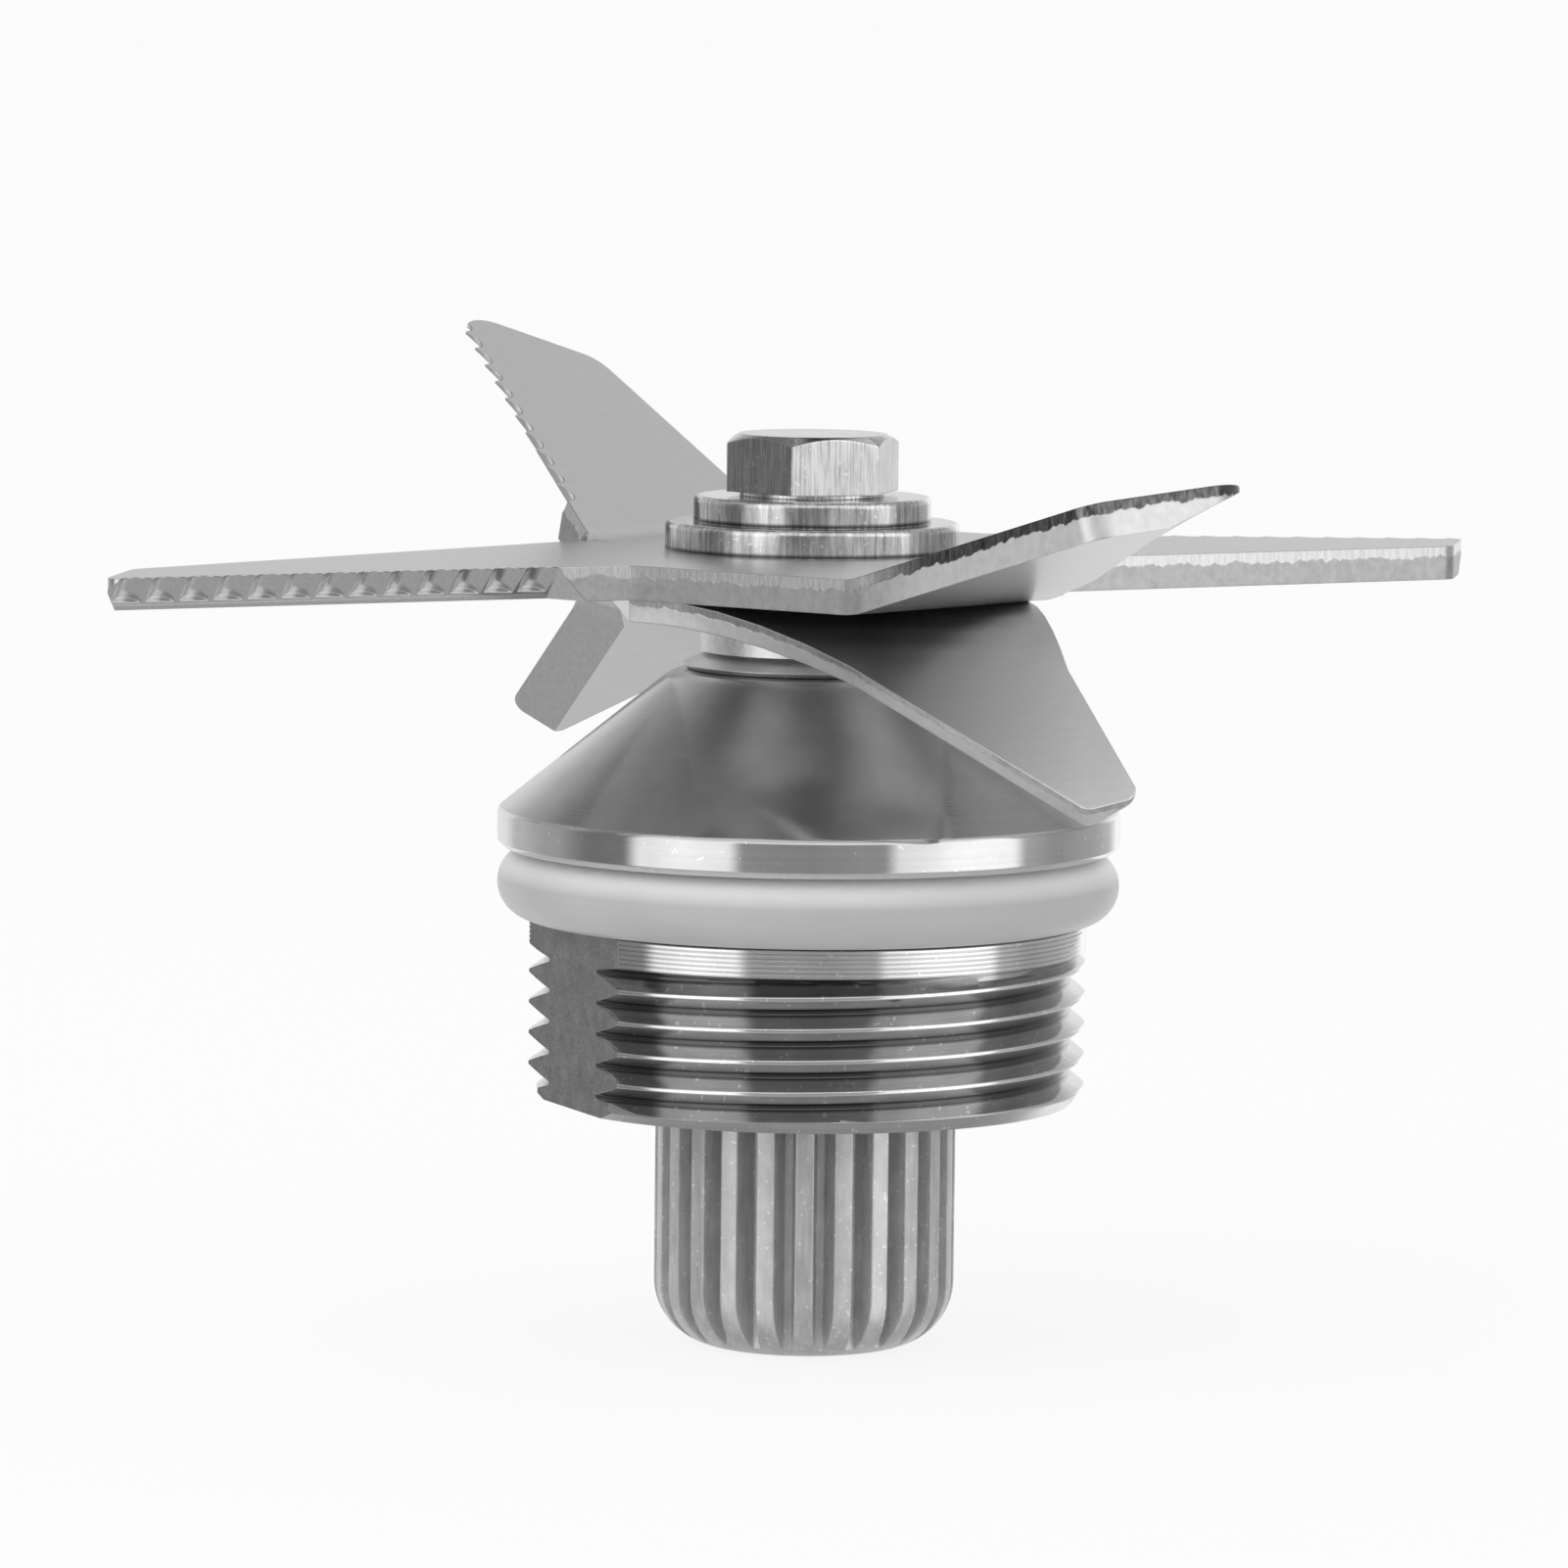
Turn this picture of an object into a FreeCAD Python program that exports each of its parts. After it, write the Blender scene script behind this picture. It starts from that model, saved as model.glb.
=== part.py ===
import FreeCAD, Part
import math
import os

# Blade assembly of a kitchen blender, in millimetres.
# +Z is up, the shaft's axis is the Z axis, and the origin is the middle of the drive spline's foot.
# A viewer in front of the part looks along +Y, with +X to the right.

# Blades: the star is stamped from one sheet, and half of it repeats by a half turn about the axis.
# Corners are given by their distance from the axis and their direction in degrees, in the flat sheet.
upper_thickness = 2.2
right_notch_reach = 15.74
right_notch_direction = -21.2
front_notch_reach = 19.5
front_notch_direction = -125.8
flat_arm_lead_reach = 50.2
flat_arm_lead_direction = 29.4
flat_arm_trail_reach = 45.6
flat_arm_trail_direction = 21.2
raised_arm_trail_reach = 40.55
raised_arm_trail_direction = -64.5
raised_arm_lead_reach = 42.0
raised_arm_lead_direction = -47.7
flat_arm_set = -1.0
upper_bend_radius = 3.5

# The two raised arms: where each fold line lies, the way it faces, and how far the arm is folded up
front_fold_distance = 19.07
front_fold_direction = -42.5
front_arm_angle = 17.5
back_fold_distance = 14.84
back_fold_direction = -29.7
back_arm_angle = 33.8

# Rounded corners at the tips
flat_arm_lead_radius = 1.0
flat_arm_trail_radius = 2.0
raised_arm_lead_radius = 4.0
raised_arm_trail_radius = 2.1

# Leading edges of the star: a bevel ground from below, then round serrations cut into it
star_bevel_width = 3.1
star_bevel_land = 0.12
serration_pitch = 2.15
serration_radius = 1.25
serration_depth = 0.85
serration_drop = 1.35
serration_tilt = 52.0
serration_lean = 6.0
serration_tip_land = 2.2
serration_root_land = 1.5
nose_bevel_width = 8.1
nose_bevel_length = 17.0

# Lower blade: two arms folded down, with a knife bevel ground from below
lower_thickness = 1.6
lower_notch_across = -11.1
lower_fold_direction = -91.7
lower_fold_distance = 17.24
lower_lead_root = 14.63
lower_trail_root = -2.63
lower_lead_reach = 38.3
lower_lead_direction = -58.1
lower_trail_reach = 37.6
lower_trail_direction = -63.3
lower_arm_angle = 44.0
lower_bend_radius = 11.0
lower_tip_radius = 0.9
lower_bevel_width = 3.2
lower_bevel_land = 0.15
bend_bevel_start = 0.1

# Clamped stack on top of the shaft
shaft_diameter = 10.0
shaft_flats = 8.0
blade_fit = 0.05
shaft_setback = 0.4
bush_diameter = 14.3
bush_height = 2.74
large_washer_diameter = 18.95
large_washer_thickness = 1.81
small_washer_diameter = 15.3
small_washer_thickness = 1.65
washer_hole_gap = 0.2
washer_edge_radius = 0.35

# Bolt M6
bolt_diameter = 6.0
bolt_length = 20.0
bolt_across_flats = 10.0
bolt_head_height = 4.0
bolt_face_height = 0.3
bolt_hole_gap = 0.03
bolt_hole_spare = 2.0
head_direction = -103.2

# Slinger with its V edge, and the sleeve for the seal lip
slinger_diameter = 16.6
slinger_edge_height = 0.85
slinger_hub_diameter = 12.8
slinger_skirt_diameter = 15.3
slinger_skirt_height = 0.75
slinger_lower_cone = 0.5
slinger_edge_rise = 0.35
sleeve_diameter = 12.0

# Housing
rim_diameter = 40.24
rim_height = 1.95
rim_bevel = 0.4
cone_angle = 39.0
cone_shoulder_width = 0.92
cone_shoulder_radius = 2.5
mouth_diameter = 15.8
mouth_height = 2.25
thread_diameter = 36.0
body_bottom_height = 16.0
bottom_chamfer = 0.9
barrel_height = 11.7

# Jar thread on the barrel, drawn as a row of rings at its pitch
thread_pitch = 2.0
thread_depth = 1.1
thread_crest_width = 0.25
thread_root_width = 0.55
collar_height = 1.8

# Wrench flats across the barrel
wrench_flat_distance = 16.45
wrench_flat_direction = -155.6

# Sealing ring under the rim
ring_section = 4.6
ring_inset = 0.02
ring_side_gap = 0.05

# Ball bearings
bearing_bore = 10.0
bearing_outer = 26.0
bearing_width = 8.0
ball_diameter = 4.76
ball_circle = 18.0
ball_count = 7
ball_gap = 0.08
inner_race_diameter = 14.6
outer_race_diameter = 21.4
cage_height = 5.8
cage_width = 1.5
seal_disc_thickness = 0.5
seal_disc_recess = 0.2
bearing_recess = 2.0
race_fit = 0.01
running_gap = 0.12
spacer_wall = 1.9

# Ring that holds the bearings
circlip_thickness = 1.2
circlip_groove_depth = 0.65
circlip_inner_diameter = 21.2
circlip_lug_radius = 1.7
circlip_lug_hole = 2.0
circlip_gap = 7.0
circlip_clearance = 0.05

# Rotary shaft seal
seal_diameter = 19.0
seal_height = 3.55
seal_wall = 0.8
seal_web_inner = 14.8
seal_lip_gap = 0.08
seal_lip_reach = 1.0
seal_rubber_thickness = 0.7
seal_lip_drop = 1.3
seal_lip_tail = 0.6
seal_step = 0.11
garter_section = 0.7

# Drive spline
spline_diameter = 19.45
spline_teeth = 24
spline_groove_depth = 2.0
spline_groove_top_angle = 9.0
spline_groove_floor_angle = 4.0
spline_end_radius = 4.2
spline_top_gap = 0.4
spline_neck_diameter = 13.8
shaft_end_height = 4.5
bore_end_gap = 0.3

# Heights and diameters that follow from the sizes above
ring_outer_diameter = rim_diameter - 2 * ring_inset
collar_top = body_bottom_height + barrel_height
rim_bottom = collar_top + ring_section + 2 * ring_side_gap
rim_top = rim_bottom + rim_height + rim_bevel
cone_slope = math.tan(math.radians(cone_angle))
mouth_inner = mouth_diameter / 2
housing_top = rim_top + (rim_diameter / 2 - mouth_inner - cone_shoulder_width) * cone_slope
seal_top = housing_top - mouth_height - 2 * race_fit
seal_web = seal_top - seal_wall
seal_bottom = seal_top - seal_height
upper_bearing_top = seal_bottom - seal_step
upper_bearing_height = upper_bearing_top - bearing_width
lower_bearing_height = body_bottom_height + bearing_recess
lower_bearing_top = lower_bearing_height + bearing_width
bearing_spacing = upper_bearing_height - lower_bearing_top
slinger_sharp_height = housing_top + slinger_edge_rise
slinger_top = slinger_sharp_height + slinger_edge_height
bush_top = slinger_top + bush_height
lower_blade_top = bush_top + lower_thickness
upper_blade_top = lower_blade_top + upper_thickness
large_washer_top = upper_blade_top + large_washer_thickness
small_washer_top = large_washer_top + small_washer_thickness
bolt_top = small_washer_top + bolt_head_height
shaft_top = upper_blade_top - shaft_setback

UP = FreeCAD.Vector(0, 0, 1)
ORIGIN = FreeCAD.Vector(0, 0, 0)


def vector(x, y, z=0.0):
    return FreeCAD.Vector(x, y, z)


def polar(distance, direction):
    angle = math.radians(direction)
    return vector(distance * math.cos(angle), distance * math.sin(angle))


def half_turn(shape):
    turned = shape.copy()
    turned.rotate(ORIGIN, UP, 180)
    return turned


def revolve(profile):
    """A solid of revolution from (radius, height) points, joined by straight lines."""
    points = [vector(r, 0, z) for r, z in profile]
    face = Part.Face(Part.makePolygon(points + points[:1]))
    return face.revolve(ORIGIN, UP, 360)


def ring(inner_radius, outer_radius, bottom, height):
    outer = Part.makeCylinder(outer_radius, height, vector(0, 0, bottom))
    return outer.cut(Part.makeCylinder(inner_radius, height, vector(0, 0, bottom)))


def torus(centre_radius, section_radius, height):
    return Part.makeTorus(centre_radius, section_radius, vector(0, 0, height))


def prism(points, bottom, top):
    low = [vector(p.x, p.y, bottom) for p in points]
    face = Part.Face(Part.makePolygon(low + low[:1]))
    return face.extrude(vector(0, 0, top - bottom))


def flatted_cylinder(radius, across_flats, bottom, top):
    """A round bar with two flats that face the front and the back."""
    bar = Part.makeCylinder(radius, top - bottom, vector(0, 0, bottom))
    box = Part.makeBox(4 * radius, across_flats, top - bottom,
                       vector(-2 * radius, -across_flats / 2, bottom))
    return bar.common(box)


# Folding sheet metal

class Fold:
    """A fold line between two root corners. A positive angle turns the sheet beyond it upwards."""

    def __init__(self, lead_root, trail_root, angle, radius, top, thickness):
        self.base = lead_root
        self.along = (trail_root - lead_root).normalize()
        self.outward = vector(self.along.y, -self.along.x)
        if self.outward.dot(lead_root) < 0:
            self.outward = self.outward * -1
        self.angle = abs(angle)
        self.up = 1 if angle > 0 else -1
        self.radius = radius
        self.thickness = thickness
        self.hollow_height = top if angle > 0 else top - thickness
        self.reach = radius * math.tan(math.radians(self.angle / 2))

    def turn(self, shape):
        """Swing a flat shape about the fold's hollow side."""
        moved = shape.copy()
        moved.rotate(self.base + vector(0, 0, self.hollow_height), UP.cross(self.outward),
                     -self.angle * self.up)
        return moved

    def distance(self, point):
        """How far beyond the fold line a point of the flat sheet lies."""
        return (point - self.base).dot(self.outward)

    def crossing(self, start, end, distance):
        """Where the line from start to end lies this far beyond the fold, measured along the fold."""
        line = end - start
        share = (distance - self.distance(start)) / line.dot(self.outward)
        return (start + line * share - self.base).dot(self.along)

    def flat_point(self, along, distance):
        return self.base + self.along * along + self.outward * distance

    def bent_point(self, along, depth, turned):
        """A point in the bend: depth is measured through the sheet from its hollow side."""
        centre = self.flat_point(along, -self.reach) + UP * (self.hollow_height + self.up * self.radius)
        size = self.radius + depth
        angle = math.radians(turned)
        return centre + self.outward * (size * math.sin(angle)) - UP * (self.up * size * math.cos(angle))

    def bend(self, lead, trail, bevel, land, bevel_start):
        """The rounded bend between two pairs of edge positions, with the bevel under its leading edge.

        The bevel's size at the bend's start is given as a share, and it is whole at the bend's end.
        """
        sections = []
        steps = 5
        low, high = (self.thickness, 0) if self.up > 0 else (0, self.thickness)
        for k in range(steps + 1):
            share = k / steps
            first = lead[0] + (lead[1] - lead[0]) * share
            last = trail[0] + (trail[1] - trail[0]) * share
            fade = bevel_start + (1 - bevel_start) * share
            edge = low + (high - low) * (1 - land / self.thickness) * fade
            places = [(last, low), (last, high), (first, high), (first, edge), (first + bevel * fade, low)]
            points = [self.bent_point(a, d, self.angle * share) for a, d in places]
            sections.append(Part.makePolygon(points + points[:1]))
        return Part.makeLoft(sections, True, True)


def folded_arm(fold, lead, trail, tip_radii, top, tools):
    """The flat part of an arm beyond its bend, shaped in the flat and then swung into place."""
    lead_root, lead_tip = lead
    trail_root, trail_tip = trail
    lead_start = fold.flat_point(fold.crossing(lead_root, lead_tip, fold.reach), fold.reach)
    trail_start = fold.flat_point(fold.crossing(trail_root, trail_tip, fold.reach), fold.reach)
    flat = prism([lead_start, lead_tip, trail_tip, trail_start], top - fold.thickness, top)
    flat = round_corner(flat, lead_tip, tip_radii[0])
    flat = round_corner(flat, trail_tip, tip_radii[1])
    for tool in tools:
        flat = flat.cut(tool)
    return fold.turn(flat)


def round_corner(solid, corner, radius):
    """Round the upright edge of a flat plate that stands at a corner."""
    edges = []
    for edge in solid.Edges:
        ends = [v.Point for v in edge.Vertexes]
        if len(ends) == 2 and all(math.hypot(p.x - corner.x, p.y - corner.y) < 0.01 for p in ends):
            edges.append(edge)
    return solid.makeFillet(radius, edges)


def sloped_arm(corners, tip_radii, top, thickness, slope_angle):
    """A flat arm, set down by a small slope beyond the line between its two roots."""
    lead_root, lead_tip, trail_tip, trail_root = corners
    outward = side_of(lead_root, trail_root, lead_tip)
    slope = math.tan(math.radians(slope_angle))
    upper = [vector(p.x, p.y, top + slope * (p - lead_root).dot(outward)) for p in corners]
    arm = Part.Face(Part.makePolygon(upper + upper[:1])).extrude(vector(0, 0, -thickness))
    arm = round_corner(arm, lead_tip, tip_radii[0])
    return round_corner(arm, trail_tip, tip_radii[1])


def side_of(root, tip, inside):
    """The direction in the sheet from an edge towards a point inside the arm."""
    along = (tip - root).normalize()
    normal = vector(-along.y, along.x)
    if (inside - root).dot(normal) < 0:
        normal = normal * -1
    return normal


def edge_bevel(root, tip, inner_side, top, thickness, width, land, start, slope=0.0):
    """A long wedge under an edge, from a start along it to beyond the tip, with a slanting run-out."""
    along = (tip - root).normalize()
    run = along + UP * slope
    spare = 0.3
    # Past both ends of the bevel the wedge runs on along the same slant
    slant = (inner_side * width - UP * (thickness - land)) * spare
    edge = root + UP * (top - land) + run * (start + width)
    deep = edge + inner_side * width - UP * (thickness - land)
    section = [edge - slant, deep + slant, deep + slant - UP * thickness,
               edge - slant - inner_side * width - UP * 2 * thickness]
    face = Part.Face(Part.makePolygon(section + section[:1]))
    wedge = face.extrude(run * ((tip - root).Length - start))
    run_out = face.extrude(inner_side * (-1.7 * width) - run * width)
    return [wedge, run_out]


def nose_bevel(root, tip, inner_side):
    """The bevel under a raised arm grows wider towards the tip, so that the nose comes out thin."""
    along = (tip - root).normalize()
    drop = UP * (upper_thickness - star_bevel_land)
    sections = []
    for distance, width in ((-nose_bevel_length, star_bevel_width), (star_bevel_width, nose_bevel_width)):
        edge = tip + along * distance + UP * (upper_blade_top - star_bevel_land)
        # The section runs on a little past both ends of the bevel along the same slant
        slant = (inner_side * width - drop) * 0.1
        corners = [edge - slant, edge + inner_side * width - drop + slant,
                   edge + inner_side * width - drop * 2, edge - slant - inner_side * width - drop * 2]
        sections.append(Part.makePolygon(corners + corners[:1]))
    return Part.makeLoft(sections, True, True)


def serration_tools(root, tip, inner_side, top, thickness, slope=0.0):
    """Round grooves across a bevelled edge: they start at the top face and slant in below it."""
    along = (tip - root).normalize()
    lean = math.radians(serration_lean)
    tilt = math.radians(serration_tilt)
    axis = vector(0, 0, -1) + inner_side * math.tan(tilt) + along * math.tan(lean)
    axis.normalize()
    first = (tip - root).Length - serration_tip_land
    count = int((first - serration_root_land) / serration_pitch)
    # A slanting groove is wider across than its tool, so the depth is measured square to the axis
    outset = serration_radius / math.cos(tilt) - serration_depth
    # A groove's floor lies above the middle of its tool's end, and stops in a small step
    length = thickness + (serration_drop + serration_radius * math.sin(tilt)) / abs(axis.z)
    tools = []
    for k in range(count):
        distance = first - serration_pitch * k
        start = root + (along + UP * slope) * distance - inner_side * outset + UP * top
        start = start - axis * thickness
        tools.append(Part.makeCylinder(serration_radius, length, start, axis))
    return tools


def star_edge_tools(root, tip, inside, slope=0.0):
    """All the grinding on one leading edge of the star."""
    side = side_of(root, tip, inside)
    bevel = edge_bevel(root, tip, side, upper_blade_top, upper_thickness, star_bevel_width,
                       star_bevel_land, serration_root_land, slope)
    grooves = serration_tools(root, tip, side, upper_blade_top, upper_thickness, slope)
    return Part.makeCompound(bevel + grooves)


def raised_arm(fold_distance, fold_direction, angle):
    """One folded arm of the star: its flat part, its bend, and the hub's outline up to the bend."""
    lead_root = polar(right_notch_reach, right_notch_direction)
    lead_tip = polar(raised_arm_lead_reach, raised_arm_lead_direction)
    trail_root = polar(front_notch_reach, front_notch_direction)
    trail_tip = polar(raised_arm_trail_reach, raised_arm_trail_direction)
    normal = polar(1.0, fold_direction)
    ends = []
    for root, tip in ((lead_root, lead_tip), (trail_root, trail_tip)):
        share = (fold_distance - root.dot(normal)) / (tip - root).dot(normal)
        ends.append(root + (tip - root) * share)
    fold = Fold(ends[0], ends[1], angle, upper_bend_radius, upper_blade_top, upper_thickness)
    tools = star_edge_tools(lead_root, lead_tip, trail_tip)
    nose = nose_bevel(lead_root, lead_tip, side_of(lead_root, lead_tip, trail_tip))
    arm = folded_arm(fold, (lead_root, lead_tip), (trail_root, trail_tip),
                     (raised_arm_lead_radius, raised_arm_trail_radius), upper_blade_top,
                     [tools, nose])
    # Where the notch lies in the bend, the bend starts square to the fold beside it
    first = max(-fold.reach, min(fold.reach, fold.distance(lead_root)))
    lead = (fold.crossing(lead_root, lead_tip, first), fold.crossing(lead_root, lead_tip, fold.reach))
    trail = (fold.crossing(trail_root, trail_tip, -fold.reach),
             fold.crossing(trail_root, trail_tip, fold.reach))
    edge = (lead_tip - lead_root).normalize()
    whole = fold.distance(lead_root) < -fold.reach - serration_root_land
    bend = fold.bend(lead, trail, star_bevel_width / edge.dot(fold.outward), star_bevel_land,
                     1.0 if whole else bend_bevel_start)
    outline = [trail_root, fold.flat_point(trail[0], -fold.reach), fold.flat_point(lead[0], -fold.reach),
               lead_root]
    return arm, bend, outline, tools


def flat_arm():
    """One of the two arms that stay nearly level with the hub."""
    lead_root = polar(front_notch_reach, front_notch_direction + 180)
    trail_root = polar(right_notch_reach, right_notch_direction)
    lead_tip = polar(flat_arm_lead_reach, flat_arm_lead_direction)
    trail_tip = polar(flat_arm_trail_reach, flat_arm_trail_direction)
    arm = sloped_arm([lead_root, lead_tip, trail_tip, trail_root],
                     (flat_arm_lead_radius, flat_arm_trail_radius), upper_blade_top, upper_thickness,
                     flat_arm_set)
    outward = side_of(lead_root, trail_root, lead_tip)
    slope = math.tan(math.radians(flat_arm_set)) * (lead_tip - lead_root).normalize().dot(outward)
    return arm.cut(star_edge_tools(lead_root, lead_tip, trail_tip, slope))


def upper_blade():
    bottom = upper_blade_top - upper_thickness
    front_arm, front_bend, front_outline, tools = raised_arm(
        front_fold_distance, front_fold_direction, front_arm_angle)
    back_arm, back_bend, back_outline, unused = raised_arm(
        back_fold_distance, back_fold_direction, back_arm_angle)
    hub = prism(front_outline + [corner * -1 for corner in back_outline], bottom, upper_blade_top)
    hub = hub.cut(tools)
    flat = flat_arm()
    blade = hub.fuse([front_arm, front_bend, half_turn(back_arm), half_turn(back_bend),
                      flat, half_turn(flat)]).removeSplitter()
    hole = flatted_cylinder(shaft_diameter / 2 + blade_fit, shaft_flats + 2 * blade_fit, bottom,
                            upper_blade_top)
    return blade.cut(hole)


def lower_blade():
    top = lower_blade_top
    bottom = top - lower_thickness
    normal = polar(1.0, lower_fold_direction)
    across = vector(-normal.y, normal.x)
    lead_root = normal * lower_fold_distance + across * lower_lead_root
    trail_root = normal * lower_fold_distance + across * lower_trail_root
    lead_tip = polar(lower_lead_reach, lower_lead_direction)
    trail_tip = polar(lower_trail_reach, lower_trail_direction)
    fold = Fold(lead_root, trail_root, -lower_arm_angle, lower_bend_radius, top, lower_thickness)
    reach = fold.reach
    # The notch between the two arms lies where the bend of one arm starts
    notch = normal * (lower_fold_distance - reach) + across * lower_notch_across
    lead = (fold.crossing(notch * -1, lead_root, -reach), fold.crossing(lead_root, lead_tip, reach))
    trail = (lower_lead_root - lower_notch_across, fold.crossing(trail_root, trail_tip, reach))
    bevel = edge_bevel(lead_root, lead_tip, side_of(lead_root, lead_tip, trail_tip), top, lower_thickness,
                       lower_bevel_width, lower_bevel_land, -2 * lower_bevel_width)
    arm = folded_arm(fold, (lead_root, lead_tip), (trail_root, trail_tip),
                     (lower_tip_radius, lower_tip_radius), top, [Part.makeCompound(bevel)])
    edge = (lead_tip - lead_root).normalize()
    bend = fold.bend(lead, trail, lower_bevel_width / edge.dot(fold.outward), lower_bevel_land,
                     bend_bevel_start)
    starts = [notch, fold.flat_point(lead[0], -reach)]
    hub = prism(starts + [corner * -1 for corner in starts], bottom, top)
    blade = hub.fuse([arm, bend, half_turn(arm), half_turn(bend)]).removeSplitter()
    hole = flatted_cylinder(shaft_diameter / 2 + blade_fit, shaft_flats + 2 * blade_fit, bottom, top)
    return blade.cut(hole)


def washer(diameter, hole_radius, bottom, thickness):
    """A stamped washer, rolled over at its upper outside edge."""
    radius = diameter / 2
    disc = ring(hole_radius, radius, bottom, thickness)
    edges = [e for e in disc.Edges
             if len(e.Vertexes) == 1 and abs(e.Vertexes[0].Point.z - bottom - thickness) < 0.01
             and abs(e.Vertexes[0].Point.x - radius) < 0.01]
    return disc.makeFillet(washer_edge_radius, edges)


def hex_bolt():
    """Hexagon head with a 30 degree chamfer on top, a round face below and a plain shank."""
    corner = bolt_across_flats / math.sqrt(3)
    corners = [polar(corner, head_direction + 60 * k) for k in range(6)]
    head = prism(corners, small_washer_top + bolt_face_height, bolt_top)
    flat = bolt_across_flats / 2 * 0.95
    rise = (corner + 1 - flat) * math.tan(math.radians(30))
    cap = revolve([(0, small_washer_top), (corner + 1, small_washer_top),
                   (corner + 1, bolt_top - rise), (flat, bolt_top), (0, bolt_top)])
    head = head.common(cap)
    face = Part.makeCylinder(bolt_across_flats / 2 * 0.94, bolt_face_height, vector(0, 0, small_washer_top))
    shank = Part.makeCylinder(bolt_diameter / 2 - bolt_hole_gap, bolt_length,
                              vector(0, 0, small_washer_top - bolt_length))
    return head.fuse([face, shank]).removeSplitter()


def drive_shaft():
    """Round shaft with two flats where the blades sit and a tapped hole from the top."""
    radius = shaft_diameter / 2 - race_fit
    body = Part.makeCylinder(radius, bush_top - shaft_end_height, vector(0, 0, shaft_end_height))
    seat = flatted_cylinder(radius, shaft_flats, bush_top, shaft_top)
    depth = shaft_top - (small_washer_top - bolt_length) + bolt_hole_spare
    hole = Part.makeCylinder(bolt_diameter / 2, depth, vector(0, 0, shaft_top - depth))
    return body.fuse(seat).cut(hole).removeSplitter()


def blade_spacer():
    return ring(shaft_diameter / 2, bush_diameter / 2, slinger_top, bush_height)


def slinger():
    """V-edged flange over a skirt that dips into the housing's mouth, on a sleeve for the seal."""
    skirt = slinger_skirt_diameter / 2
    sleeve = sleeve_diameter / 2
    bore = shaft_diameter / 2
    low = slinger_sharp_height - slinger_lower_cone
    return revolve([(bore, upper_bearing_top), (sleeve, upper_bearing_top),
                    (sleeve, low - slinger_skirt_height), (skirt, low - slinger_skirt_height),
                    (skirt, low), (slinger_diameter / 2, slinger_sharp_height),
                    (slinger_hub_diameter / 2, slinger_top), (bore, slinger_top)])


def thread_section():
    """The barrel's outline from its bottom chamfer up to the collar: a row of V-shaped grooves."""
    crest = thread_diameter / 2
    root = crest - thread_depth
    low = body_bottom_height + bottom_chamfer
    high = collar_top - collar_height
    count = int((high - low) / thread_pitch)
    outline = [(crest, low)]
    for k in range(count):
        top = high - thread_pitch * (count - 1 - k)
        middle = top - thread_pitch / 2
        outline += [(crest, middle - (thread_pitch - thread_crest_width) / 2),
                    (root, middle - thread_root_width / 2), (root, middle + thread_root_width / 2),
                    (crest, middle + (thread_pitch - thread_crest_width) / 2)]
    return outline + [(crest, collar_top)]


def housing():
    """Turned body: cone, rim, ring groove, collar and threaded barrel, with two wrench flats."""
    rim = rim_diameter / 2
    barrel = thread_diameter / 2
    bore = bearing_outer / 2
    groove_floor = ring_outer_diameter / 2 - ring_section
    seal_seat = seal_diameter / 2
    mouth_bottom = housing_top - mouth_height
    shoulder = mouth_inner + cone_shoulder_width
    clip_top = lower_bearing_height
    clip_low = clip_top - circlip_thickness - 2 * circlip_clearance
    clip_floor = bore + circlip_groove_depth
    body = revolve([
        (bore, body_bottom_height), (barrel - bottom_chamfer, body_bottom_height)] + thread_section() + [
        (groove_floor, collar_top), (groove_floor, rim_bottom), (rim - rim_bevel, rim_bottom),
        (rim, rim_bottom + rim_bevel), (rim, rim_top), (shoulder, housing_top),
        (mouth_inner, housing_top), (mouth_inner, mouth_bottom), (seal_seat, mouth_bottom),
        (seal_seat, upper_bearing_top), (bore, upper_bearing_top), (bore, clip_top),
        (clip_floor, clip_top), (clip_floor, clip_low), (bore, clip_low)])
    body = fillet_ring(body, rim, rim_top, 0.5)
    body = fillet_ring(body, shoulder, housing_top, cone_shoulder_radius)
    for turn in (0, 180):
        body = body.cut(flat_cutter(wrench_flat_direction + turn))
    return body


def fillet_ring(body, radius, height, size):
    edges = [e for e in body.Edges
             if len(e.Vertexes) == 1 and abs(e.Vertexes[0].Point.z - height) < 0.001
             and abs(math.hypot(e.Vertexes[0].Point.x, e.Vertexes[0].Point.y) - radius) < 0.001]
    return body.makeFillet(size, edges)


def flat_cutter(direction):
    depth = thread_diameter
    box = Part.makeBox(depth, 2 * depth, collar_top - body_bottom_height,
                       vector(wrench_flat_distance, -depth, body_bottom_height))
    box.rotate(ORIGIN, UP, direction)
    return box


def o_ring():
    section = ring_section / 2
    return torus(ring_outer_diameter / 2 - section, section, collar_top + ring_side_gap + section)


def retaining_ring():
    """Spring ring in its groove, with two eared ends for pliers."""
    outer = bearing_outer / 2 + circlip_groove_depth - circlip_clearance
    bottom = lower_bearing_height - circlip_thickness - circlip_clearance
    inner = circlip_inner_diameter / 2
    clip = ring(inner, outer, bottom, circlip_thickness)
    gap = Part.makeBox(circlip_gap, outer * 2, circlip_thickness, vector(-circlip_gap / 2, 0, bottom))
    clip = clip.cut(gap)
    for side in (-1, 1):
        place = vector(side * (circlip_gap / 2 + circlip_lug_radius),
                       math.sqrt(inner ** 2 - (circlip_gap / 2 + circlip_lug_radius) ** 2), bottom)
        lug = Part.makeCylinder(circlip_lug_radius, circlip_thickness, place)
        hole = Part.makeCylinder(circlip_lug_hole / 2, circlip_thickness, place)
        clip = clip.fuse(lug).cut(hole)
    return clip.removeSplitter()


def raceway(bottom):
    return torus(ball_circle / 2, ball_diameter / 2 + ball_gap, bottom + bearing_width / 2)


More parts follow.
